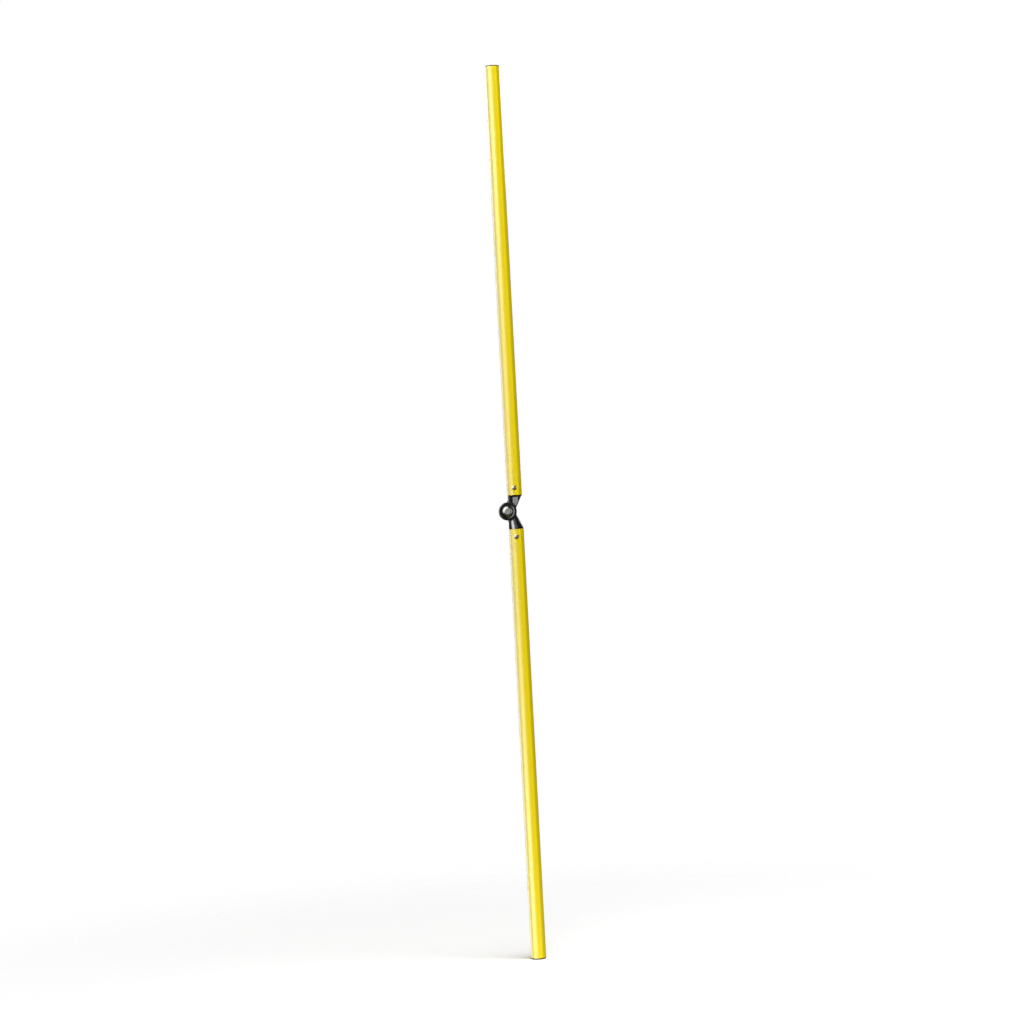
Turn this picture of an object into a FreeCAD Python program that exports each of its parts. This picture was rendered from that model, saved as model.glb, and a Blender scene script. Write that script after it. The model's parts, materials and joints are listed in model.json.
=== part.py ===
import FreeCAD, Part
import math
import os
import re

import Sketcher

# A two-section folding pole: two equal tubes joined by an offset knuckle hinge, all in millimetres.
# Frame: +Z runs up the pole, the origin is the centre of the foot's flat face, +X points away from
# the hinge's pivot, and the bolt's head faces -Y. The pole is drawn straight, ready for use.

doc = FreeCAD.newDocument("folding_probe_pole")

# ---------------------------------------------------------------- driving dimensions

DIMENSIONS = {
    # whole pole
    "pole_length": 1500,
    "tube_outside": 25,
    "tube_wall": 1.8,
    "tube_edge": 0.3,
    "mouth_gap": 57,
    # end plugs
    "flange_thick": 1.5,
    "flange_round": 1.0,
    "plug_depth": 18,
    "plug_wall": 2,
    "plug_play": 0.3,
    "crush_rib_width": 1.2,
    "crush_rib_play": 0.02,
    # hinge, shared by both knuckles
    "pivot_offset": 13,
    "pivot_rise": 1.8,
    "boss_diameter": 30.4,
    "boss_depth": 25,
    "boss_chamfer": 1.5,
    "collar_diameter": 24.4,
    "arm_near_side": 1.5,
    "stop_angle": 20.5,
    "stop_play_angle": 0.4,
    "lug_radius": 15.5,
    "toe_low": 13,
    "toe_high": 18,
    "toe_play": 0.05,
    "toe_root": 2,
    "swing_play": 0.5,
    "running_play": 0.05,
    # spigots
    "spigot_length": 35,
    "spigot_play": 0.05,
    "spigot_core": 14,
    "spigot_floor": 5,
    "spigot_lead": 1.0,
    # tongue
    "tongue_collar_thick": 3,
    "tongue_thick": 8,
    "tongue_diameter": 24.4,
    "slot_play": 0.3,
    "friction_washer_thick": 1,
    "friction_washer_diameter": 22.6,
    # fork
    "fork_collar_thick": 1.5,
    "collar_relief": 3,
    "fork_arm_diameter": 24,
    "fork_far_side": 24.5,
    "fork_neck_depth": 20.4,
    "fork_hollow_depth": 14,
    "hollow_slope_start": 9.6,
    "hollow_slope_end": 18.4,
    "far_side_round": 1.4,
    "recess_mouth_diameter": 23.8,
    "recess_floor_diameter": 17.6,
    "recess_floor": 8.8,
    "dish_depth": 1.5,
    "nut_pocket_floor": 7.5,
    "nut_pocket_play": 0.05,
    # pivot bolt, washers and nut
    "bolt_diameter": 8,
    "bolt_length": 30,
    "bolt_hole_play": 0.2,
    "bolt_end_chamfer": 0.8,
    "button_diameter": 16.8,
    "button_height": 3,
    "button_flat": 9,
    "button_land": 0.75,
    "button_dome": 6.25,
    "socket_flats": 5,
    "socket_depth": 2.2,
    "head_washer_diameter": 16,
    "head_washer_thick": 1.6,
    "washer_play": 0.2,
    "washer_chamfer": 0.25,
    "spring_washer_diameter": 14.8,
    "spring_washer_thick": 2,
    "spring_washer_turn": 352,
    "sleeve_diameter": 11,
    "sleeve_seat_play": 0.01,
    "nut_flats": 13,
    "nut_height": 8,
    "nut_hexagon_height": 5.8,
    "nut_collar_diameter": 11.8,
    "nut_lip": 0.7,
    "insert_diameter": 10.4,
    "insert_play": 0.1,
    "insert_thick": 1.3,
    # rivets
    "rivet_from_mouth": 12.5,
    "rivet_diameter": 4,
    "rivet_hole_play": 0.05,
    "rivet_head_diameter": 8,
    "rivet_head_rise": 1.4,
    "rivet_head_rim": 0.15,
    "rivet_head_skirt": 0.9,
    "rivet_dome": 6.5,
    "rivet_bulb_diameter": 5.6,
    "rivet_bulb_length": 2.2,
    "mandrel_diameter": 2.1,
    "mandrel_play": 0.01,
    "mandrel_recess": 0.5,
    "mandrel_ball_diameter": 3.5,
    "mandrel_ball_length": 1.8,
}

sheet = doc.addObject("Spreadsheet::Sheet", "Sizes")
for row, (alias, number) in enumerate(DIMENSIONS.items(), start=1):
    sheet.set(f"A{row}", alias)
    sheet.set(f"B{row}", str(number))
    sheet.setAlias(f"B{row}", alias)
doc.recompute()

# ---------------------------------------------------------------- dimensions worked out from them

TUBE_RADIUS = "tube_outside / 2"
TUBE_BORE = "(tube_outside / 2 - tube_wall)"
TUBE_LENGTH = "((pole_length - mouth_gap) / 2 - flange_thick)"
HINGE_HEIGHT = "(pole_length / 2 + pivot_rise)"
FORK_MOUTH = "(mouth_gap / 2 - pivot_rise)"
TONGUE_MOUTH = "(mouth_gap / 2 + pivot_rise)"
FORK_NECK_TOP = "(mouth_gap / 2 - pivot_rise - fork_collar_thick / 2)"
TONGUE_ARM_TOP = "(mouth_gap / 2 + pivot_rise - tongue_collar_thick)"
NOTCH_RADIUS = "(boss_diameter / 2 + swing_play)"
STOP_ANGLE = "(stop_angle * 1 deg)"
SLOT_RADIUS = "(tongue_diameter / 2 + slot_play)"
CHEEK_INSIDE = "(tongue_thick / 2 + friction_washer_thick + running_play)"
RIVET_STATION = "(pole_length / 2 - mouth_gap / 2 - rivet_from_mouth)"
BOLT_RADIUS = "bolt_diameter / 2"
HEAD_SEAT = "(recess_floor + spring_washer_thick + head_washer_thick)"
HEAD_TOP = "(recess_floor + spring_washer_thick + head_washer_thick + button_height)"
NUT_BACK = "(nut_pocket_floor + nut_height)"
NUT_SHOULDER = "(nut_pocket_floor + nut_hexagon_height)"
MANDREL_RADIUS = "mandrel_diameter / 2"
BULB_START = "(sqrt((spigot_core / 2) ^ 2 - (rivet_bulb_diameter / 2) ^ 2) - rivet_hole_play)"
RIVET_BLIND_END = "(spigot_core / 2 - rivet_bulb_length)"

# ---------------------------------------------------------------- sketches and features


def cells(expression):
    """An expression of sheet aliases, in the form that an object outside the sheet needs."""
    return re.sub(r"\b([a-z]\w*_\w+)\b", r"Sizes.\1", expression)


def value(expression):
    """What an expression of sheet aliases comes to now, as a plain number."""
    got = sheet.evalExpression(expression)
    return float(getattr(got, "Value", got))


def new_body(label):
    body = doc.addObject("PartDesign::Body", label)
    body.Label = label
    return body


def new_sketch(body, name, plane, lift=None):
    """A sketch on one of the body's own origin planes, lifted off it by an expression."""
    sketch = body.newObject("Sketcher::SketchObject", f"{body.Name}_{name}")
    origin_planes = [face for face in body.Origin.OriginFeatures if face.Role == plane]
    sketch.AttachmentSupport = (origin_planes[0], [""])
    sketch.MapMode = "FlatFace"
    if lift:
        sketch.setExpression("AttachmentOffset.Base.z", cells(lift))
    return sketch


def pin_point(sketch, geometry, point, across, along):
    """Fixes a point of a sketch at two expressions, counted from the sketch's origin."""
    for kind, axis, distance in (("DistanceX", -2, across), ("DistanceY", -1, along)):
        if distance == "0":
            sketch.addConstraint(Sketcher.Constraint("PointOnObject", geometry, point, axis))
            continue
        rule = Sketcher.Constraint(kind, -1, 1, geometry, point, value(distance))
        sketch.setExpression(f"Constraints[{sketch.addConstraint(rule)}]", cells(distance))


def add_circle(sketch, across, along, radius):
    centre = FreeCAD.Vector(value(across), value(along), 0)
    circle = sketch.addGeometry(Part.Circle(centre, FreeCAD.Vector(0, 0, 1), value(radius)), False)
    rule = sketch.addConstraint(Sketcher.Constraint("Radius", circle, value(radius)))
    sketch.setExpression(f"Constraints[{rule}]", cells(radius))
    pin_point(sketch, circle, 3, across, along)


def arc_between(start, end, radius, turn):
    """The shorter arc from start to end, and whether the sketcher runs it the other way round."""
    chord = end - start
    sagitta_side = 1 if turn == "left" else -1
    inward = FreeCAD.Vector(-chord.y, chord.x, 0).normalize() * sagitta_side
    centre = (start + end) / 2 + inward * math.sqrt(radius ** 2 - (chord.Length / 2) ** 2)
    first, last = (start, end) if turn == "left" else (end, start)
    circle = Part.Circle(centre, FreeCAD.Vector(0, 0, 1), radius)
    angles = [math.atan2(p.y - centre.y, p.x - centre.x) for p in (first, last)]
    return Part.ArcOfCircle(circle, angles[0], angles[1]), turn == "right"


def add_loop(sketch, corners):
    """A closed loop through corners, each an (across, along) pair of expressions.

    A corner with two more values, (across, along, radius, turn), is reached by an arc of that radius
    that turns left or right on its way; any other corner is reached by a straight line.
    """
    places = [FreeCAD.Vector(value(c[0]), value(c[1]), 0) for c in corners]
    edges = []
    for index, corner in enumerate(corners):
        start, end = places[index - 1], places[index]
        if len(corner) == 4:
            arc, backwards = arc_between(start, end, value(corner[2]), corner[3])
            edge = sketch.addGeometry(arc, False)
            rule = sketch.addConstraint(Sketcher.Constraint("Radius", edge, value(corner[2])))
            sketch.setExpression(f"Constraints[{rule}]", cells(corner[2]))
        else:
            edge = sketch.addGeometry(Part.LineSegment(start, end), False)
            backwards = False
        edges.append((edge, 2 if backwards else 1, 1 if backwards else 2))
    for index, corner in enumerate(corners):
        edge, _, edge_end = edges[index]
        following, following_start, _ = edges[(index + 1) % len(edges)]
        sketch.addConstraint(
            Sketcher.Constraint("Coincident", edge, edge_end, following, following_start))
        pin_point(sketch, edge, edge_end, corner[0], corner[1])


def add_rectangle(sketch, left, right, low, high):
    add_loop(sketch, [(left, low), (right, low), (right, high), (left, high)])


def hexagon(across, along, flats):
    """Corners of a hexagon with two of its flats facing along, round the given centre."""
    corners = []
    for step in range(6):
        angle = f"({step * 60} * 1 deg)"
        reach = f"({flats}) / sqrt(3)"
        corners.append((f"{across} + {reach} * cos{angle}", f"{along} + {reach} * sin{angle}"))
    return corners


def volume_after(body):
    doc.recompute()
    return body.Shape.Volume


def extrude(body, name, sketch, kind, length, midplane=False, reverse=False):
    """A pad or pocket, checked to have added or removed something."""
    before = volume_after(body) if body.Tip else 0
    feature = body.newObject(f"PartDesign::{kind}", f"{body.Name}_{name}")
    feature.Profile = sketch
    feature.setExpression("Length", cells(length))
    if midplane:
        feature.SideType = "Symmetric"
    feature.Reversed = reverse
    check_changed(body, name, before, kind == "Pad")
    return feature


def turn(body, name, sketch, kind="Revolution", angle=None):
    """A revolution or groove round the sketch's vertical axis."""
    before = volume_after(body) if body.Tip else 0
    feature = body.newObject(f"PartDesign::{kind}", f"{body.Name}_{name}")
    feature.Profile = sketch
    feature.ReferenceAxis = (sketch, ["V_Axis"])
    if angle:
        feature.setExpression("Angle", cells(angle))
    check_changed(body, name, before, kind == "Revolution")
    return feature


def check_changed(body, name, before, should_grow):
    after = volume_after(body)
    grew = after > before + 1e-3
    shrank = after < before - 1e-3
    if not (grew if should_grow else shrank):
        raise ValueError(f"{body.Label}: {name} left the volume at {after:.3f}, from {before:.3f}")


def dress(body, name, kind, edges, size):
    """A fillet or chamfer on the tip's edges that the given test picks out."""
    doc.recompute()
    base = body.Tip
    chosen = [f"Edge{i}" for i, edge in enumerate(base.Shape.Edges, start=1) if edges(edge)]
    if not chosen:
        raise ValueError(f"{body.Label}: {name} finds no edge")
    feature = body.newObject(f"PartDesign::{kind}", f"{body.Name}_{name}")
    feature.Base = (base, chosen)
    feature.setExpression("Radius" if kind == "Fillet" else "Size", cells(size))
    doc.recompute()
    return feature


def is_ring(edge, radius, station):
    """Whether an edge is a whole circle or an arc round the pivot's own axis, at that y."""
    curve = edge.Curve
    if not isinstance(curve, Part.Circle) or abs(curve.Radius - radius) > 1e-6:
        return False
    on_axis = math.hypot(curve.Center.x, curve.Center.z) < 1e-6
    return on_axis and abs(curve.Center.y - station) < 1e-6


def place(body, across="0", height="0", turned_over=False):
    """Sets a piece in the pole's frame; turned_over gives it half a turn about its own X axis."""
    flip = FreeCAD.Rotation(FreeCAD.Vector(1, 0, 0), 180 if turned_over else 0)
    body.Placement = FreeCAD.Placement(FreeCAD.Vector(), flip)
    body.setExpression("Placement.Base.x", cells(across))
    body.setExpression("Placement.Base.z", cells(height))
    return body


def place_at_pivot(body, turned_over=False):
    return place(body, across="-pivot_offset", height=HINGE_HEIGHT, turned_over=turned_over)


# ---------------------------------------------------------------- tubes and end plugs
# Both are drawn with their outer end at z = 0 and the hinge above them.


def tube(label):
    body = new_body(label)
    wall = new_sketch(body, "wall", "XZ_Plane")
    add_loop(wall, [
        (TUBE_BORE, "0"),
        (f"{TUBE_RADIUS} - tube_edge", "0"),
        (TUBE_RADIUS, "tube_edge"),
        (TUBE_RADIUS, f"{TUBE_LENGTH} - tube_edge"),
        (f"{TUBE_RADIUS} - tube_edge", TUBE_LENGTH),
        (TUBE_BORE, TUBE_LENGTH),
    ])
    turn(body, "length", wall)
    holes = new_sketch(body, "rivet_hole", "XZ_Plane")
    add_circle(holes, "0", f"{TUBE_LENGTH} - rivet_from_mouth", "rivet_diameter / 2 + rivet_hole_play")
    extrude(body, "rivet_holes", holes, "Pocket", "tube_outside + tube_wall", midplane=True)
    return body


def end_plug(label):
    """A flanged cap with a hollow barrel, held in the tube by six crush ribs."""
    barrel = f"({TUBE_BORE} - plug_play)"
    barrel_top = "(flange_thick + plug_depth)"
    body = new_body(label)
    section = new_sketch(body, "section", "XZ_Plane")
    add_loop(section, [
        ("0", "0"),
        (f"{TUBE_RADIUS} - flange_round", "0"),
        (TUBE_RADIUS, "flange_round", "flange_round", "left"),
        (TUBE_RADIUS, "flange_thick"),
        (barrel, "flange_thick"),
        (barrel, f"{barrel_top} - tube_edge"),
        (f"{barrel} - tube_edge", barrel_top),
        (f"{barrel} - plug_wall", barrel_top),
        (f"{barrel} - plug_wall", "2 * flange_thick"),
        ("0", "2 * flange_thick"),
    ])
    turn(body, "cap", section)
    rib_sketch = new_sketch(body, "rib", "XY_Plane", lift="flange_thick")
    add_rectangle(
        rib_sketch,
        f"{barrel} - plug_wall / 2",
        f"{TUBE_BORE} - crush_rib_play",
        "-crush_rib_width / 2",
        "crush_rib_width / 2",
    )
    rib = extrude(body, "crush_rib", rib_sketch, "Pad", "plug_depth - plug_wall")
    ribs = body.newObject("PartDesign::PolarPattern", f"{label}_ribs")
    ribs.Originals = [rib]
    ribs.Axis = (rib_sketch, ["N_Axis"])
    ribs.Angle = 360
    ribs.Occurrences = 6
    body.Tip = ribs
    return body


# ---------------------------------------------------------------- the two knuckles
# Each is drawn with the pivot at the origin, its tube above it, and the tube's axis at
# x = pivot_offset. The tongue is then turned upside down.


def ray_point(radius, angle):
    """A point at a radius from the pivot, at an angle up from the X axis."""
    return (f"{radius} * cos({angle})", f"{radius} * sin({angle})")


def add_fork_neck(body):
    """The fork's arm from the collar to the pivot, turned to a round a little under the collar's."""
    outline = new_sketch(body, "neck_outline", "XZ_Plane")
    add_loop(outline, [
        ("arm_near_side", FORK_NECK_TOP),
        ("arm_near_side", f"arm_near_side * tan{STOP_ANGLE}"),
        ray_point(NOTCH_RADIUS, STOP_ANGLE),
        ("fork_far_side", FORK_NECK_TOP),
    ])
    extrude(body, "neck", outline, "Pad", "fork_neck_depth", midplane=True)
    outside = new_sketch(body, "neck_outside", "XY_Plane")
    add_circle(outside, "pivot_offset", "0", "fork_arm_diameter / 2")
    add_circle(outside, "pivot_offset", "0", "collar_diameter")
    extrude(body, "neck_turning", outside, "Pocket", FORK_MOUTH, reverse=True)


def add_tongue_arm(body):
    """The tongue's arm: a leaning cone from the collar down to the notch, upright on its near side."""
    notch_reach, notch_height = ray_point(NOTCH_RADIUS, STOP_ANGLE)
    wide_end = new_sketch(body, "arm_wide_end", "XY_Plane", lift=TONGUE_ARM_TOP)
    add_circle(wide_end, "pivot_offset", "0", "collar_diameter / 2")
    narrow_end = new_sketch(body, "arm_narrow_end", "XY_Plane", lift=notch_height)
    add_circle(narrow_end, f"({notch_reach} + arm_near_side) / 2", "0",
               f"({notch_reach} - arm_near_side) / 2")
    arm = body.newObject("PartDesign::AdditiveLoft", f"{body.Name}_arm")
    arm.Profile = wide_end
    arm.Sections = [narrow_end]
    check_changed(body, "arm", 0, True)


def round_far_side(body):
    """Rounds the long edges of the slanted face on the arm's far side."""
    notch = ray_point(NOTCH_RADIUS, STOP_ANGLE)
    low = FreeCAD.Vector(value(notch[0]), 0, value(notch[1]))
    slope = FreeCAD.Vector(value("fork_far_side"), 0, value(FORK_NECK_TOP)) - low

    def on_slanted_face(edge):
        ends = [edge.valueAt(edge.FirstParameter), edge.valueAt(edge.LastParameter)]
        climbs = abs(ends[0].z - ends[1].z) > value("far_side_round")
        off_face = [abs((p.x - low.x) * slope.z - (p.z - low.z) * slope.x) for p in ends]
        return climbs and max(off_face) < 1e-3

    dress(body, "far_side_round", "Fillet", on_slanted_face, "far_side_round")


def add_spigot(body, mouth, collar_thick):
    """The collar that meets the tube's mouth and the cored spigot inside the tube."""
    spigot_radius = f"({TUBE_BORE} - spigot_play)"
    spigot_end = f"({mouth} + spigot_length)"
    core_floor = f"({mouth} + spigot_floor)"
    collar = new_sketch(body, "collar_round", "XY_Plane", lift=f"{mouth} - {collar_thick}")
    add_circle(collar, "pivot_offset", "0", "collar_diameter / 2")
    extrude(body, "collar", collar, "Pad", collar_thick)
    round_end = new_sketch(body, "spigot_round", "XY_Plane", lift=mouth)
    add_circle(round_end, "pivot_offset", "0", spigot_radius)
    extrude(body, "spigot", round_end, "Pad", "spigot_length")
    dress(body, "spigot_lead", "Chamfer",
          lambda edge: edge.BoundBox.ZMin > value(spigot_end) - 1e-6, "spigot_lead")
    core = new_sketch(body, "core_round", "XY_Plane", lift=core_floor)
    add_circle(core, "pivot_offset", "0", "spigot_core / 2")
    extrude(body, "core", core, "Pocket", "spigot_length", reverse=True)
    rivet_hole = new_sketch(body, "rivet_hole", "XZ_Plane")
    add_circle(rivet_hole, "pivot_offset", f"{mouth} + rivet_from_mouth",
               "rivet_diameter / 2 + rivet_hole_play")
    extrude(body, "rivet_holes", rivet_hole, "Pocket", "tube_outside", midplane=True)


def add_toe(body):
    """The pad on the arm's near side that meets the other arm's pad when the pole is folded flat."""
    toe = new_sketch(body, "toe_outline", "XZ_Plane")
    add_rectangle(toe, "toe_play", "arm_near_side + toe_root", "toe_low", "toe_high")
    extrude(body, "toe", toe, "Pad", "tongue_thick", midplane=True)


def fork_knuckle(label):
    """The upper knuckle: two cheeks with round bosses, either side of a slot for the tongue."""
    body = new_body(label)
    add_fork_neck(body)
    hollow_fork_neck(body)
    round_far_side(body)
    add_spigot(body, FORK_MOUTH, "fork_collar_thick")
    relieve_collar(body)
    boss = new_sketch(body, "boss_round", "XZ_Plane")
    add_circle(boss, "0", "0", "boss_diameter / 2")
    extrude(body, "boss", boss, "Pad", "boss_depth", midplane=True)
    for side in (-1, 1):
        rim = side * value("boss_depth / 2")
        dress(body, f"boss_edge_{'front' if side < 0 else 'rear'}", "Chamfer",
              lambda edge, rim=rim: is_ring(edge, value("boss_diameter / 2"), rim), "boss_chamfer")
    cut_fork_slot(body)
    add_toe(body)
    recess = new_sketch(body, "recess_section", "XY_Plane")
    add_loop(recess, [
        ("0", "-recess_floor"),
        ("recess_floor_diameter / 2", "-recess_floor"),
        ("recess_floor_diameter / 2", "dish_depth - boss_depth / 2"),
        ("recess_mouth_diameter / 2", "-boss_depth / 2"),
        ("0", "-boss_depth / 2"),
    ])
    turn(body, "recess", recess, kind="Groove")
    pocket = new_sketch(body, "nut_pocket_outline", "XZ_Plane", lift="-boss_depth / 2")
    add_loop(pocket, hexagon("0", "0", "nut_flats + 2 * nut_pocket_play"))
    extrude(body, "nut_pocket", pocket, "Pocket", "boss_depth / 2 - nut_pocket_floor", reverse=True)
    bore = new_sketch(body, "bolt_hole_round", "XZ_Plane")
    add_circle(bore, "0", "0", f"{BOLT_RADIUS} + bolt_hole_play")
    extrude(body, "bolt_hole", bore, "Pocket", "boss_depth", midplane=True)
    return body


def hollow_fork_neck(body):
    """Thins the fork's neck front and back, with a floor on the near side and a slope to the far side."""
    for side in ("-", ""):
        face = f"{side}(fork_neck_depth / 2 + swing_play)"
        floor = f"{side}fork_hollow_depth / 2"
        rise = "(fork_neck_depth - fork_hollow_depth) / 2"
        run = "(hollow_slope_end - hollow_slope_start)"
        crest = f"{side}(fork_hollow_depth / 2 + {rise} * (1 + swing_play / {run}))"
        name = "hollow_front" if side else "hollow_rear"
        hollow = new_sketch(body, f"{name}_outline", "XY_Plane")
        add_loop(hollow, [
            ("arm_near_side - swing_play", floor),
            ("hollow_slope_start", floor),
            ("hollow_slope_end + swing_play", crest),
            ("hollow_slope_end + swing_play", face),
            ("arm_near_side - swing_play", face),
        ])
        extrude(body, name, hollow, "Pocket", f"{FORK_MOUTH} - fork_collar_thick", reverse=True)


def relieve_collar(body):
    """Cuts the collar and the top of the arm back to the hollow's floor, front and back."""
    for side in ("-", ""):
        name = "relief_front" if side else "relief_rear"
        relief = new_sketch(body, f"{name}_outline", "XY_Plane", lift=FORK_MOUTH)
        add_rectangle(
            relief,
            "0",
            "2 * pivot_offset",
            f"{side}fork_hollow_depth / 2",
            f"{side}(collar_diameter / 2 + swing_play)",
        )
        extrude(body, name, relief, "Pocket", "collar_relief")


def cut_fork_slot(body):
    """Opens the fork between its cheeks, all round the pivot except for the web towards the tube."""
    clear = "boss_diameter"
    near_height = f"sqrt({SLOT_RADIUS} ^ 2 - arm_near_side ^ 2)"
    slot = new_sketch(body, "slot_outline", "XZ_Plane")
    add_loop(slot, [
        ray_point(SLOT_RADIUS, STOP_ANGLE) + (SLOT_RADIUS, "right"),
        (clear, f"{clear} * tan{STOP_ANGLE}"),
        (clear, f"-{clear}"),
        (f"-{clear}", f"-{clear}"),
        (f"-{clear}", clear),
        ("arm_near_side", clear),
        ("arm_near_side", near_height),
    ])
    extrude(body, "slot", slot, "Pocket", f"2 * {CHEEK_INSIDE}", midplane=True)


def tongue_knuckle(label):
    """The lower knuckle: a blade that turns between the fork's cheeks, and its stop lug."""
    lug_start = "((stop_play_angle - stop_angle) * 1 deg)"
    lug_end = "((stop_angle + stop_play_angle) * 1 deg)"
    body = new_body(label)
    add_tongue_arm(body)
    add_spigot(body, TONGUE_MOUTH, "tongue_collar_thick")
    clearance = new_sketch(body, "cheek_clearance_section", "XY_Plane")
    for side in ("-", ""):
        add_rectangle(clearance, "0", NOTCH_RADIUS, f"{side}tongue_thick / 2", f"{side}boss_depth")
    turn(body, "cheek_clearance", clearance, kind="Groove")
    disc = new_sketch(body, "disc_round", "XZ_Plane")
    add_circle(disc, "0", "0", "tongue_diameter / 2")
    extrude(body, "disc", disc, "Pad", "tongue_thick", midplane=True)
    lug = new_sketch(body, "stop_lug_outline", "XZ_Plane")
    add_loop(lug, [
        ("0", "0"),
        ray_point("lug_radius", lug_start),
        ray_point("lug_radius", lug_end) + ("lug_radius", "left"),
    ])
    extrude(body, "stop_lug", lug, "Pad", "tongue_thick", midplane=True)
    add_toe(body)
    bore = new_sketch(body, "sleeve_seat_round", "XZ_Plane")
    add_circle(bore, "0", "0", "sleeve_diameter / 2 + sleeve_seat_play")
    extrude(body, "sleeve_seat", bore, "Pocket", "boss_depth", midplane=True)
    return body


# ---------------------------------------------------------------- pivot hardware
# Each piece is drawn round the pivot's axis: across is the radius, and -Y is towards the bolt's head.


def turned(label, corners, angle=None):
    """A piece turned round the Y axis from corners given as (radius, y)."""
    body = new_body(label)
    section = new_sketch(body, "section", "XY_Plane")
    add_loop(section, corners)
    turn(body, "turning", section, angle=angle)
    return body


def washer(label, bore, outside, front, back, edge=None, angle=None):
    """A flat ring between two y stations, its outer edges broken when an edge size is given."""
    if not edge:
        corners = [(bore, front), (outside, front), (outside, back), (bore, back)]
        return turned(label, corners, angle)
    return turned(label, [
        (bore, front),
        (f"{outside} - {edge}", front),
        (outside, f"{front} + {edge}"),
        (outside, f"{back} - {edge}"),
        (f"{outside} - {edge}", back),
        (bore, back),
    ], angle)


def pivot_bolt(label):
    """A button-head bolt with a hexagon socket; its thread is left as a plain cylinder."""
    tip = f"(bolt_length - {HEAD_SEAT})"
    body = turned(label, [
        ("0", f"-{HEAD_TOP}"),
        ("button_flat / 2", f"-{HEAD_TOP}"),
        ("button_diameter / 2", f"-{HEAD_SEAT} - button_land", "button_dome", "left"),
        ("button_diameter / 2", f"-{HEAD_SEAT}"),
        (BOLT_RADIUS, f"-{HEAD_SEAT}"),
        (BOLT_RADIUS, f"{tip} - bolt_end_chamfer"),
        (f"{BOLT_RADIUS} - bolt_end_chamfer", tip),
        ("0", tip),
    ])
    socket = new_sketch(body, "socket_outline", "XZ_Plane", lift=HEAD_TOP)
    add_loop(socket, hexagon("0", "0", "socket_flats"))
    extrude(body, "socket", socket, "Pocket", "socket_depth")
    return body


def lock_nut(label):
    """A hexagon nut with a round collar, which holds the nylon insert."""
    body = new_body(label)
    outline = new_sketch(body, "hexagon_outline", "XZ_Plane", lift=f"-{NUT_SHOULDER}")
    add_loop(outline, hexagon("0", "0", "nut_flats"))
    extrude(body, "hexagon", outline, "Pad", "nut_hexagon_height")
    corner_cut = new_sketch(body, "corner_cut_section", "XY_Plane")
    add_loop(corner_cut, [
        ("nut_flats / 2", NUT_SHOULDER),
        ("nut_flats", f"{NUT_SHOULDER} - nut_flats / 2 * tan(30 * 1 deg)"),
        ("nut_flats", NUT_SHOULDER),
    ])
    turn(body, "corner_cut", corner_cut, kind="Groove")
    collar = new_sketch(body, "collar_section", "XY_Plane")
    add_loop(collar, [
        ("insert_diameter / 2", NUT_SHOULDER),
        ("nut_collar_diameter / 2", NUT_SHOULDER),
        ("nut_collar_diameter / 2", f"{NUT_BACK} - nut_lip"),
        ("nut_collar_diameter / 2 - nut_lip", NUT_BACK, "nut_lip", "left"),
        (f"{BOLT_RADIUS} + nut_lip", NUT_BACK),
        (f"{BOLT_RADIUS} + nut_lip", f"{NUT_BACK} - nut_lip"),
        ("insert_diameter / 2", f"{NUT_BACK} - nut_lip"),
    ])
    turn(body, "collar", collar)
    bore = new_sketch(body, "bore_round", "XZ_Plane")
    add_circle(bore, "0", "0", BOLT_RADIUS)
    extrude(body, "bore", bore, "Pocket", "boss_depth")
    return body


# ---------------------------------------------------------------- rivets
# A rivet is drawn at the front of the tube, pointing in towards the tube's axis at x = 0.


def rivet(label):
    """A blind rivet: a domed head that sits on the tube, and a sleeve spread inside the knuckle's core."""
    bore = f"({MANDREL_RADIUS} + mandrel_play)"
    head_radius = "rivet_head_diameter / 2"
    body = turned(label, [
        (bore, f"-{TUBE_RADIUS} - rivet_head_rise"),
        (head_radius, f"-{TUBE_RADIUS} - rivet_head_rim", "rivet_dome", "left"),
        (head_radius, f"-{TUBE_RADIUS} + rivet_head_skirt"),
        (bore, f"-{TUBE_RADIUS} + rivet_head_skirt"),
    ])
    seat = new_sketch(body, "seat_round", "XY_Plane")
    add_circle(seat, "0", "0", TUBE_RADIUS)
    extrude(body, "seat", seat, "Pocket", "tube_outside", midplane=True)
    sleeve = new_sketch(body, "sleeve_section", "XY_Plane")
    add_loop(sleeve, [
        (bore, f"-{TUBE_RADIUS} - rivet_head_rise / 4"),
        ("rivet_diameter / 2", f"-{TUBE_RADIUS} - rivet_head_rise / 4"),
        ("rivet_diameter / 2", f"-{BULB_START}"),
        ("rivet_bulb_diameter / 2", f"-{BULB_START}"),
        ("rivet_bulb_diameter / 2", f"-{BULB_START} + rivet_bulb_length / 4"),
        ("rivet_diameter / 2", f"-{RIVET_BLIND_END}"),
        (bore, f"-{RIVET_BLIND_END}"),
    ])
    turn(body, "sleeve", sleeve)
    return body


def mandrel(label):
    """The stem left in a rivet: broken off inside the head, with a ball behind the blind end."""
    return turned(label, [
        ("0", f"-{TUBE_RADIUS} - rivet_head_rise + mandrel_recess"),
        (MANDREL_RADIUS, f"-{TUBE_RADIUS} - rivet_head_rise + mandrel_recess"),
        (MANDREL_RADIUS, f"-{RIVET_BLIND_END}"),
        ("mandrel_ball_diameter / 2", f"-{RIVET_BLIND_END}"),
        ("mandrel_ball_diameter / 2", f"-{RIVET_BLIND_END} + mandrel_ball_length / 2"),
        (MANDREL_RADIUS, f"-{RIVET_BLIND_END} + mandrel_ball_length"),
        ("0", f"-{RIVET_BLIND_END} + mandrel_ball_length"),
    ])


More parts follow.
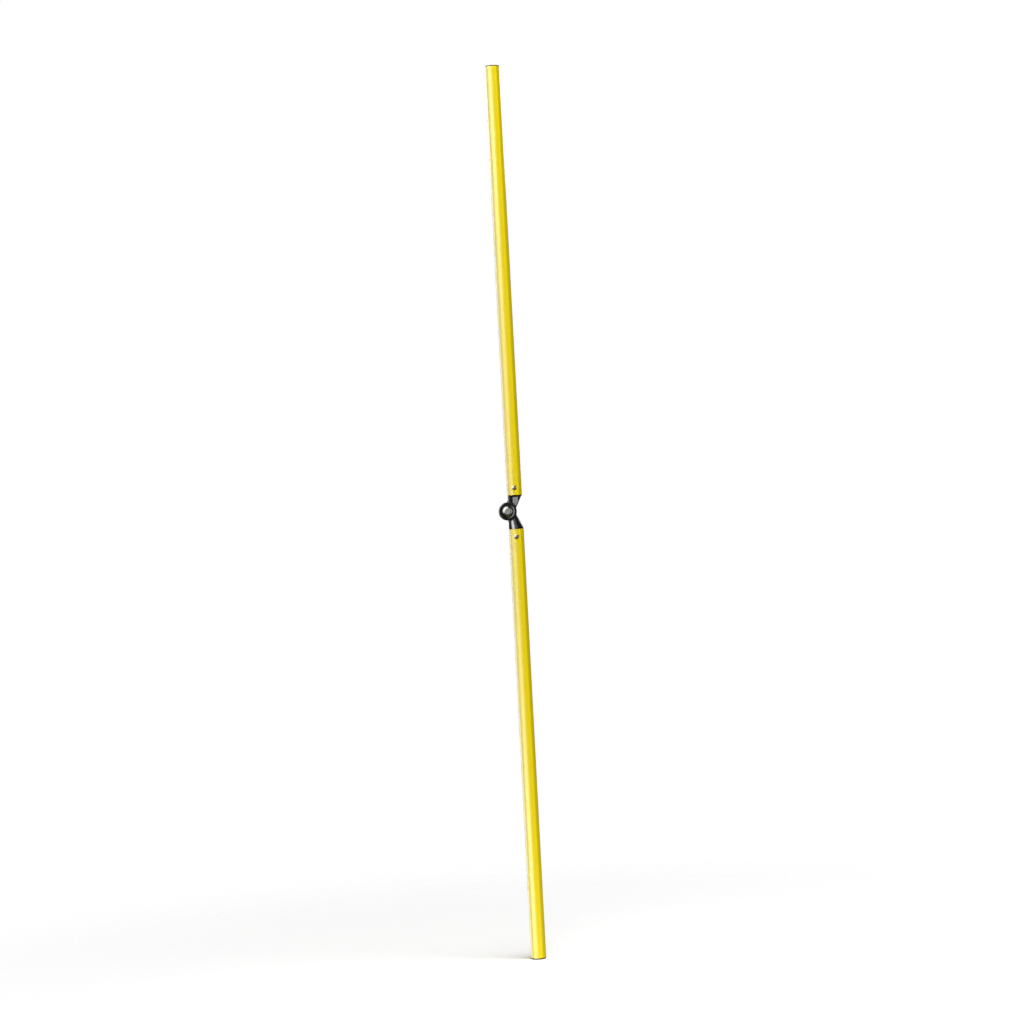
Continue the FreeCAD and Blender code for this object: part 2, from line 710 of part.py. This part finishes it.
def riveted_joint(end, height):
    """The front and rear rivets that hold one tube to its knuckle, each with its mandrel."""
    pieces = []
    for side in ("front", "rear"):
        for kind, make in (("rivet", rivet), ("mandrel", mandrel)):
            piece = make(f"{end}_{side}_{kind}")
            pieces.append(place(piece, height=height, turned_over=side == "rear"))
    return pieces


# ---------------------------------------------------------------- the pole


def build_pole():
    upper_outer_end = "pole_length - flange_thick"
    tongue_face = "tongue_thick / 2"
    cheek_face = "(tongue_thick / 2 + friction_washer_thick)"
    spring_front = "(recess_floor + spring_washer_thick)"
    turning_bore = f"{BOLT_RADIUS} + running_play"
    loose_bore = f"{BOLT_RADIUS} + washer_play"
    friction_radius = "friction_washer_diameter / 2"
    insert_front = f"{NUT_SHOULDER} + insert_play / 2"
    return [
        place(tube("lower_tube"), height="flange_thick"),
        place(tube("upper_tube"), height=upper_outer_end, turned_over=True),
        place(end_plug("lower_end_plug")),
        place(end_plug("upper_end_plug"), height="pole_length", turned_over=True),
        place_at_pivot(tongue_knuckle("lower_knuckle"), turned_over=True),
        place_at_pivot(fork_knuckle("upper_knuckle")),
        place_at_pivot(pivot_bolt("pivot_bolt")),
        place_at_pivot(washer(
            "head_washer", loose_bore, "head_washer_diameter / 2",
            f"-{HEAD_SEAT}", f"-{spring_front}", edge="washer_chamfer")),
        place_at_pivot(washer(
            "spring_washer", loose_bore, "spring_washer_diameter / 2",
            f"-{spring_front}", "-recess_floor", angle="spring_washer_turn")),
        place_at_pivot(washer(
            "pivot_sleeve", turning_bore, "sleeve_diameter / 2", f"-{tongue_face}", tongue_face)),
        place_at_pivot(washer(
            "front_friction_washer", turning_bore, friction_radius, f"-{cheek_face}", f"-{tongue_face}")),
        place_at_pivot(washer(
            "rear_friction_washer", turning_bore, friction_radius, tongue_face, cheek_face)),
        place_at_pivot(lock_nut("lock_nut")),
        place_at_pivot(washer(
            "lock_nut_insert", BOLT_RADIUS, "insert_diameter / 2",
            insert_front, f"{insert_front} + insert_thick")),
        *riveted_joint("lower", RIVET_STATION),
        *riveted_joint("upper", f"pole_length - {RIVET_STATION}"),
    ]


def check_and_write(pieces):
    """Writes one STEP file per piece, once every object and shape is sound."""
    doc.recompute()
    for thing in doc.Objects:
        if {"Invalid", "Error"} & set(thing.State):
            raise ValueError(f"{thing.Label} is {thing.State}")
    for piece in pieces:
        if piece.Shape.isNull() or not piece.Shape.isValid():
            raise ValueError(f"{piece.Label} has no sound shape")
    os.makedirs("parts", exist_ok=True)
    for piece in pieces:
        piece.Shape.exportStep(f"parts/{piece.Label}.step")
        box = piece.Shape.BoundBox
        print(f"{piece.Label:24s} solids {len(piece.Shape.Solids)} volume {piece.Shape.Volume:10.1f} "
              f"z {box.ZMin:8.2f} to {box.ZMax:8.2f}")


check_and_write(build_pole())
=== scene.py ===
import json
import math

import bpy
from mathutils import Matrix, Vector


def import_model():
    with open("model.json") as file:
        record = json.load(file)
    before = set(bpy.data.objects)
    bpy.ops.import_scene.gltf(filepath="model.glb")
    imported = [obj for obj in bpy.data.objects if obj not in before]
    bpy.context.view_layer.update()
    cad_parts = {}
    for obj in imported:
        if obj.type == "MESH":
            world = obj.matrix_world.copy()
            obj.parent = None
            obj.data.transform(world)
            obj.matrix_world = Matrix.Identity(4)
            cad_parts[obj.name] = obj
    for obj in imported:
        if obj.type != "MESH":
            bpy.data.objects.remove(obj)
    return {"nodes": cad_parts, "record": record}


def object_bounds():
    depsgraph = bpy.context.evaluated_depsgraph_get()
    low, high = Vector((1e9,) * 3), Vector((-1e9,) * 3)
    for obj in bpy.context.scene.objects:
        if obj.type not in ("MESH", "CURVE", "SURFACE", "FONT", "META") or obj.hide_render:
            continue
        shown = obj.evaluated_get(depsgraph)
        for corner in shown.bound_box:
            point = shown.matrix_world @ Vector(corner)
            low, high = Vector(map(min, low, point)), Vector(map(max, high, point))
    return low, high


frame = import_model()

# The looks of a two-section folding pole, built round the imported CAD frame. Metres, +Z up the pole.

CAD_LOW, CAD_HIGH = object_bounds()
POLE_LENGTH = CAD_HIGH.z - CAD_LOW.z
MIDDLE = (CAD_HIGH.z + CAD_LOW.z) / 2
SLOTS = {part["node"]: part["material_slot"] for part in frame["record"]["subparts"]}

MM = 0.001


# ---------------------------------------------------------------- node helpers


class Shader:
    """A material under construction: short calls that add nodes and join them.

    Noise scales are in waves per metre, so a scale of 500 gives a grain of about 2 mm.
    """

    def __init__(self, name):
        self.material = bpy.data.materials.new(name)
        self.material.use_nodes = True
        self.tree = self.material.node_tree
        self.surface = self.tree.nodes["Principled BSDF"]
        self.place = self.add("ShaderNodeTexCoord").outputs["Object"]

    def add(self, kind, **settings):
        node = self.tree.nodes.new(kind)
        for key, setting in settings.items():
            setattr(node, key, setting)
        return node

    def plug(self, source, socket):
        """Joins an output to an input, or sets the input when the source is a plain value."""
        if isinstance(source, bpy.types.NodeSocket):
            self.tree.links.new(source, socket)
        else:
            socket.default_value = source

    def set(self, name, source):
        self.plug(source, self.surface.inputs[name])

    def maths(self, operation, *values):
        node = self.add("ShaderNodeMath", operation=operation)
        for socket, source in zip(node.inputs, values):
            self.plug(source, socket)
        return node.outputs[0]

    def scaled(self, scale):
        """The place on the object, stretched by a scale for each axis."""
        node = self.add("ShaderNodeMapping")
        self.plug(self.place, node.inputs["Vector"])
        node.inputs["Scale"].default_value = scale
        return node.outputs["Vector"]

    def noise(self, scale, detail=3.0, roughness=0.55):
        """Noise from 0 to 1; scale is one number, or a number for each axis."""
        node = self.add("ShaderNodeTexNoise")
        per_axis = scale if isinstance(scale, tuple) else (scale, scale, scale)
        self.plug(self.scaled(per_axis), node.inputs["Vector"])
        node.inputs["Scale"].default_value = 1.0
        node.inputs["Detail"].default_value = detail
        node.inputs["Roughness"].default_value = roughness
        return node.outputs["Fac"]

    def remap(self, source, low, high, to_low=0.0, to_high=1.0):
        """Moves low..high to to_low..to_high, smoothly, and holds the ends."""
        node = self.add("ShaderNodeMapRange", interpolation_type="SMOOTHSTEP")
        self.plug(source, node.inputs["Value"])
        ends = {"From Min": low, "From Max": high, "To Min": to_low, "To Max": to_high}
        for socket, end in ends.items():
            node.inputs[socket].default_value = end
        return node.outputs["Result"]

    def mix(self, share, first, second):
        node = self.add("ShaderNodeMix", data_type="RGBA")
        self.plug(share, node.inputs["Factor"])
        self.plug(first, node.inputs["A"])
        self.plug(second, node.inputs["B"])
        return node.outputs["Result"]

    def bump(self, height, distance, strength, under=None):
        """A surface raised by height times a distance, on top of the normal that lies under it."""
        node = self.add("ShaderNodeBump")
        node.inputs["Strength"].default_value = strength
        node.inputs["Distance"].default_value = distance
        self.plug(height, node.inputs["Height"])
        if under is not None:
            self.plug(under, node.inputs["Normal"])
        return node.outputs["Normal"]

    def rounded(self, radius):
        """The normal that the surface would have with its edges rounded to a radius."""
        bevel = self.add("ShaderNodeBevel", samples=6)
        bevel.inputs["Radius"].default_value = radius
        return bevel.outputs["Normal"]

    def edge_wear(self, rounded):
        """1 on edges and 0 on flats, from how far a rounded normal leans from the true one."""
        cosine_on_flats = 0.995
        cosine_on_edges = 0.85
        geometry = self.add("ShaderNodeNewGeometry")
        lean = self.add("ShaderNodeVectorMath", operation="DOT_PRODUCT")
        self.plug(rounded, lean.inputs[0])
        self.plug(geometry.outputs["Normal"], lean.inputs[1])
        return self.remap(lean.outputs["Value"], cosine_on_flats, cosine_on_edges)


def colour(red, green, blue):
    return (red, green, blue, 1.0)


# ---------------------------------------------------------------- materials


def yellow_tube():
    """Glossy yellow tube: a slow drift of tone, faint lines along its length, a ripple and fine rubs.

    Near the outline the surface is seen at a slant, and a painted shade deepens the colour there.
    """
    pale_yellow = colour(0.86, 0.675, 0.006)
    plain_yellow = colour(0.84, 0.655, 0.004)
    line_yellow = colour(0.80, 0.62, 0.004)
    painted_shade_yellow = colour(0.42, 0.31, 0.002)
    rubbed_yellow = colour(0.55, 0.46, 0.12)
    m = Shader("yellow_tube")
    tone = m.noise((9.0, 9.0, 2.2), detail=2.0)
    streaks = m.noise((260.0, 260.0, 1.6), detail=1.0)
    rubs = m.remap(m.noise((900.0, 900.0, 60.0), detail=4.0, roughness=0.7), 0.62, 0.80)
    patches = m.remap(m.noise(24.0, detail=3.0), 0.48, 0.68)
    wear = m.maths("MULTIPLY", rubs, patches)
    clean = m.mix(m.remap(tone, 0.3, 0.7), plain_yellow, pale_yellow)
    lined = m.mix(m.remap(streaks, 0.35, 0.75, to_high=0.15), clean, line_yellow)
    slant = m.add("ShaderNodeLayerWeight").outputs["Facing"]
    # Painted shade: the colour darkens towards the outline, where the surface turns away, in place of the
    # shading at the tube's edges.
    edge_shaded = m.mix(m.remap(slant, 0.12, 0.27, to_high=0.66), lined, painted_shade_yellow)
    m.set("Base Color", m.mix(m.maths("MULTIPLY", wear, 0.10), edge_shaded, rubbed_yellow))
    polish = m.remap(tone, 0.2, 0.8, to_low=0.22, to_high=0.28)
    m.set("Roughness", m.maths("ADD", m.maths("MULTIPLY", wear, 0.12), polish))
    lines = m.bump(streaks, 0.04 * MM, strength=0.12)
    m.set("Normal", m.bump(m.noise(160.0, detail=1.0), 0.08 * MM, strength=0.06, under=lines))
    return m.material


def black_moulding():
    """Black glass-filled nylon: a fine moulded grain, a soft sheen and greyer, rubbed edges."""
    black = colour(0.003, 0.003, 0.0035)
    cloudy_black = colour(0.008, 0.008, 0.009)
    rubbed_grey = colour(0.15, 0.15, 0.14)
    m = Shader("black_moulding")
    grain = m.noise(2600.0, detail=2.0)
    cloud = m.noise(70.0, detail=3.0)
    rounded = m.rounded(0.8 * MM)
    edge = m.maths("MULTIPLY", m.edge_wear(rounded), m.remap(m.noise(500.0), 0.25, 0.55))
    base = m.mix(m.remap(cloud, 0.35, 0.7), black, cloudy_black)
    m.set("Base Color", m.mix(m.maths("MULTIPLY", edge, 0.6), base, rubbed_grey))
    m.set("Specular IOR Level", 0.75)
    m.set("Roughness", m.remap(m.noise(300.0), 0.3, 0.7, to_low=0.24, to_high=0.34))
    m.set("Normal", m.bump(grain, 0.03 * MM, strength=0.35, under=rounded))
    return m.material


def dark_plug():
    """Dark satin plug, a touch greyer than the hinge, with paler scuffs."""
    dark_grey = colour(0.020, 0.019, 0.017)
    mid_grey = colour(0.034, 0.033, 0.030)
    scuffed_grey = colour(0.13, 0.12, 0.11)
    m = Shader("dark_plug")
    scuffs = m.remap(m.noise((700.0, 120.0, 700.0), detail=4.0), 0.55, 0.7)
    base = m.mix(m.remap(m.noise(90.0), 0.3, 0.7), dark_grey, mid_grey)
    m.set("Base Color", m.mix(m.maths("MULTIPLY", scuffs, 0.5), base, scuffed_grey))
    m.set("Roughness", m.remap(m.noise(400.0), 0.3, 0.7, to_low=0.42, to_high=0.58))
    m.set("Normal", m.bump(m.noise(2400.0), 0.04 * MM, strength=0.4))
    return m.material


def metal(name, light, dark, rough, brush_scale, brush_depth, stain):
    """Turned or pressed metal: brush marks at a scale per axis, smudges, and stains in patches."""
    stain_brown = colour(0.20, 0.17, 0.13)
    m = Shader(name)
    marks = m.noise(brush_scale, detail=4.0)
    smudge = m.remap(m.noise(260.0, detail=3.0), 0.40, 0.65)
    stained = m.maths("MULTIPLY", m.remap(m.noise(520.0, detail=4.0), 0.55, 0.72), stain)
    m.set("Metallic", 1.0)
    clean = m.mix(m.remap(marks, 0.3, 0.7), light, dark)
    m.set("Base Color", m.mix(stained, clean, stain_brown))
    m.set("Roughness", m.maths("ADD", m.maths("MULTIPLY", smudge, 0.12), rough))
    m.set("Normal", m.bump(marks, brush_depth, strength=0.3))
    return m.material


def pale_plastic(name, light, dark):
    """Natural acetal or nylon: milky, slightly translucent and barely textured."""
    m = Shader(name)
    m.set("Base Color", m.mix(m.remap(m.noise(180.0), 0.3, 0.7), light, dark))
    m.set("Subsurface Weight", 0.15)
    m.set("Subsurface Radius", (1.0 * MM, 1.0 * MM, 0.8 * MM))
    m.set("Roughness", m.remap(m.noise(600.0), 0.3, 0.7, to_low=0.35, to_high=0.5))
    m.set("Normal", m.bump(m.noise(1800.0), 0.02 * MM, strength=0.3))
    return m.material


def make_materials():
    """Every finish, by the name of its material slot in the record."""
    return {
        "yellow_tube": yellow_tube(),
        "black_moulding": black_moulding(),
        "dark_plug": dark_plug(),
        "zinc_steel": metal(
            "zinc_steel", light=colour(0.56, 0.55, 0.51), dark=colour(0.45, 0.44, 0.40), rough=0.30,
            brush_scale=(900.0, 160.0, 900.0), brush_depth=0.02 * MM, stain=0.25),
        "spring_steel": metal(
            "spring_steel", light=colour(0.34, 0.34, 0.35), dark=colour(0.22, 0.22, 0.23), rough=0.36,
            brush_scale=(700.0, 900.0, 700.0), brush_depth=0.03 * MM, stain=0.2),
        # Painted reflection: the rivet's light and dark colours are tinted yellow-brown, in place of the
        # yellow tube mirrored in its head.
        "rivet_aluminium": metal(
            "rivet_aluminium", light=colour(0.62, 0.53, 0.36), dark=colour(0.48, 0.40, 0.26), rough=0.34,
            brush_scale=(600.0, 600.0, 600.0), brush_depth=0.03 * MM, stain=0.15),
        "mandrel_steel": metal(
            "mandrel_steel", light=colour(0.36, 0.34, 0.32), dark=colour(0.18, 0.17, 0.16), rough=0.48,
            brush_scale=(2200.0, 2200.0, 2200.0), brush_depth=0.10 * MM, stain=0.5),
        "acetal": pale_plastic(
            "acetal", light=colour(0.80, 0.78, 0.72), dark=colour(0.70, 0.68, 0.62)),
        "nylon_insert": pale_plastic(
            "nylon_insert", light=colour(0.66, 0.68, 0.66), dark=colour(0.52, 0.54, 0.53)),
    }


def dress_cad_nodes(materials):
    """Gives each carried-over CAD node the finish of its material slot in the record."""
    for name, node in frame["nodes"].items():
        for slot in node.material_slots:
            slot.material = materials[SLOTS[name]]


# ---------------------------------------------------------------- studio

WHITE = colour(1.0, 1.0, 1.0)
FLOOR_RADIUS = 6.0
FLOOR_SIDES = 96
FLOOR_DROP = 0.5 * MM         # the gap under the foot, so that the floor and the plug never share a plane
FLOOR_SOLID_TO = 0.25         # the floor starts to fade this far from the pole
FLOOR_GONE_BY = 1.3           # and has faded out this far from it
STUDIO_GLOW = 0.03            # the strength of the even light that comes from every side
CAMERA_DISTANCE = 4.5
CAMERA_REACH = 50.0
SENSOR_WIDTH = 36.0           # millimetres, which is Blender's unit for it
FRAME_SHARE = 0.8725          # the pole's length as a share of the picture's height
LEAN = math.radians(3.01)     # how far the pole leans in the picture, with its top to the left
SLIDE = (-0.0033, 0.0001)     # the picture's centre from the pole's middle, in picture widths


def floor():
    """A pale floor that fades out away from the pole, so that no horizon shows; clear from below."""
    turns = [2 * math.pi * side / FLOOR_SIDES for side in range(FLOOR_SIDES)]
    rim = [(FLOOR_RADIUS * math.cos(turn), FLOOR_RADIUS * math.sin(turn), 0.0) for turn in turns]
    mesh = bpy.data.meshes.new("floor")
    mesh.from_pydata(rim, [], [list(range(FLOOR_SIDES))])
    piece = bpy.data.objects.new("floor", mesh)
    piece.location.z = -FLOOR_DROP
    bpy.context.scene.collection.objects.link(piece)
    m = Shader("floor")
    m.set("Base Color", colour(0.93, 0.93, 0.93))
    m.set("Roughness", 0.9)
    m.set("Specular IOR Level", 0.1)
    distance = m.add("ShaderNodeVectorMath", operation="LENGTH")
    m.plug(m.place, distance.inputs[0])
    fade = m.remap(distance.outputs["Value"], FLOOR_SOLID_TO, FLOOR_GONE_BY)
    geometry = m.add("ShaderNodeNewGeometry")
    hidden = m.maths("MAXIMUM", fade, geometry.outputs["Backfacing"])
    clear = m.add("ShaderNodeBsdfTransparent")
    mixed = m.add("ShaderNodeMixShader")
    m.plug(hidden, mixed.inputs["Fac"])
    m.plug(m.surface.outputs["BSDF"], mixed.inputs[1])
    m.plug(clear.outputs["BSDF"], mixed.inputs[2])
    output = m.tree.nodes["Material Output"]
    m.plug(mixed.outputs["Shader"], output.inputs["Surface"])
    mesh.materials.append(m.material)
    piece.visible_glossy = False


def world():
    """White to the camera, and a dim, even glow to everything else."""
    made = bpy.data.worlds.new("studio")
    bpy.context.scene.world = made
    made.use_nodes = True
    nodes = made.node_tree.nodes
    links = made.node_tree.links
    seen = nodes["Background"]
    seen.inputs["Color"].default_value = WHITE
    light = nodes.new("ShaderNodeBackground")
    light.inputs["Color"].default_value = WHITE
    light.inputs["Strength"].default_value = STUDIO_GLOW
    path = nodes.new("ShaderNodeLightPath")
    mixed = nodes.new("ShaderNodeMixShader")
    links.new(path.outputs["Is Camera Ray"], mixed.inputs["Fac"])
    links.new(light.outputs["Background"], mixed.inputs[1])
    links.new(seen.outputs["Background"], mixed.inputs[2])
    links.new(mixed.outputs["Shader"], nodes["World Output"].inputs["Surface"])


def softbox(name, at, size, radiance, only=None, receivers=None):
    """An area light facing the pole's middle.

    It stands at (bearing, elevation, distance) from there, in degrees and metres. Bearing 0 is at
    the camera, and it grows towards the left. Its size is (width, height). Receivers, when given,
    are the only pieces that the light falls on. A light made only for "diffuse" rays lifts the tone
    of a surface without leaving a reflection.
    """
    bearing, elevation, distance = at
    width, height = size
    light = bpy.data.lights.new(name, "AREA")
    light.shape = "RECTANGLE"
    light.size = width
    light.size_y = height
    light.energy = radiance * math.pi * width * height
    lamp = bpy.data.objects.new(name, light)
    turn = math.radians(bearing)
    lift = math.radians(elevation)
    aim = Vector((0, 0, MIDDLE))
    away = Vector((-math.sin(turn) * math.cos(lift), -math.cos(turn) * math.cos(lift), math.sin(lift)))
    lamp.location = aim + away * distance
    lamp.rotation_euler = (-away).to_track_quat("-Z", "Y").to_euler()
    lamp.visible_camera = False
    lamp.visible_diffuse = only in (None, "diffuse")
    lamp.visible_glossy = only in (None, "glossy")
    if receivers:
        lit = bpy.data.collections.new(f"{name}_receivers")
        for piece in receivers:
            lit.objects.link(piece)
        lamp.light_linking.receiver_collection = lit
    bpy.context.scene.collection.objects.link(lamp)


def reflector(name, receivers, at, size, radiance):
    """A softbox that is only seen mirrored in the shiny faces of its receivers."""
    softbox(name, at, size, radiance, only="glossy", receivers=receivers)


def nodes_in(*slots):
    """The CAD nodes whose finish is one of the named material slots."""
    return [frame["nodes"][name] for name, slot in SLOTS.items() if slot in slots]


def lights():
    """Soft light from above, from the left and from behind, then the reflectors for the highlights.

    The tubes, each black arm and the metal have reflectors of their own, so that each gets its
    highlights in the right place and no other surface is washed out by them.
    """
    pole = list(frame["nodes"].values())
    softbox("key_softbox", at=(-30, 58, 6.0), size=(6.0, 4.5), radiance=8.1, only="diffuse")
    softbox("left_fill", at=(105, 5, 5.0), size=(3.0, 3.0), radiance=4.0, only="diffuse", receivers=pole)
    softbox("back_left_softbox", at=(140, 35, 5.0), size=(5.0, 4.0), radiance=2.4, receivers=pole)
    softbox("back_right_softbox", at=(-158, 35, 5.0), size=(4.0, 4.0), radiance=4.0, receivers=pole)

    tubes = nodes_in("yellow_tube")
    reflector("tube_left_reflector", tubes, at=(52, 8, 2.2), size=(2.5, 4.0), radiance=5.4)
    reflector("tube_top_reflector", tubes, at=(42, 27, 2.4), size=(2.4, 1.0), radiance=5.5)
    reflector("tube_foot_reflector", tubes, at=(42, -27, 2.4), size=(2.4, 1.0), radiance=5.5)
    reflector("tube_front_reflector", tubes, at=(20, 0, 2.6), size=(3.2, 4.4), radiance=1.4)
    reflector("tube_back_reflector", tubes, at=(112, 0, 2.2), size=(3.2, 4.4), radiance=4.4)

    arm_and_plugs = [frame["nodes"]["upper_knuckle"]] + nodes_in("dark_plug")
    reflector("upper_arm_reflector", arm_and_plugs, at=(52, 10, 2.2), size=(2.5, 4.0), radiance=4.2)
    reflector("upper_arm_side_reflector", arm_and_plugs, at=(95, 25, 2.6), size=(2.4, 4.2), radiance=4.0)

    lower_arm = [frame["nodes"]["lower_knuckle"]]
    reflector("lower_arm_reflector", lower_arm, at=(47, 10, 2.2), size=(1.5, 4.0), radiance=13.0)
    reflector("lower_arm_front_reflector", lower_arm, at=(-5, 10, 2.6), size=(1.6, 4.0), radiance=1.1)

    metals = nodes_in("zinc_steel", "spring_steel", "rivet_aluminium", "mandrel_steel")
    reflector("metal_left_reflector", metals, at=(48, 36, 2.2), size=(2.7, 4.0), radiance=2.6)
    reflector("metal_front_reflector", metals, at=(0, 0, 4.0), size=(2.8, 4.0), radiance=0.45)
    reflector("metal_right_reflector", metals, at=(-60, 5, 2.6), size=(2.4, 2.4), radiance=0.5)


def camera():
    """A camera level with the pole's middle, square to its front, rolled so that the pole leans."""
    data = bpy.data.cameras.new("camera")
    data.sensor_width = SENSOR_WIDTH
    data.lens = SENSOR_WIDTH * CAMERA_DISTANCE * FRAME_SHARE / POLE_LENGTH
    data.shift_x, data.shift_y = SLIDE
    data.clip_end = CAMERA_REACH
    eye = bpy.data.objects.new("camera", data)
    level = Matrix.Rotation(math.radians(90), 4, "X")
    roll = Matrix.Rotation(LEAN, 4, Vector((0, 1, 0)))
    place = Matrix.Translation((0, -CAMERA_DISTANCE, MIDDLE))
    eye.matrix_world = place @ roll @ level
    bpy.context.scene.collection.objects.link(eye)
    bpy.context.scene.camera = eye


def studio():
    floor()
    world()
    lights()
    camera()
    view = bpy.context.scene.view_settings
    view.view_transform = "Standard"
    view.look = "None"


dress_cad_nodes(make_materials())
studio()
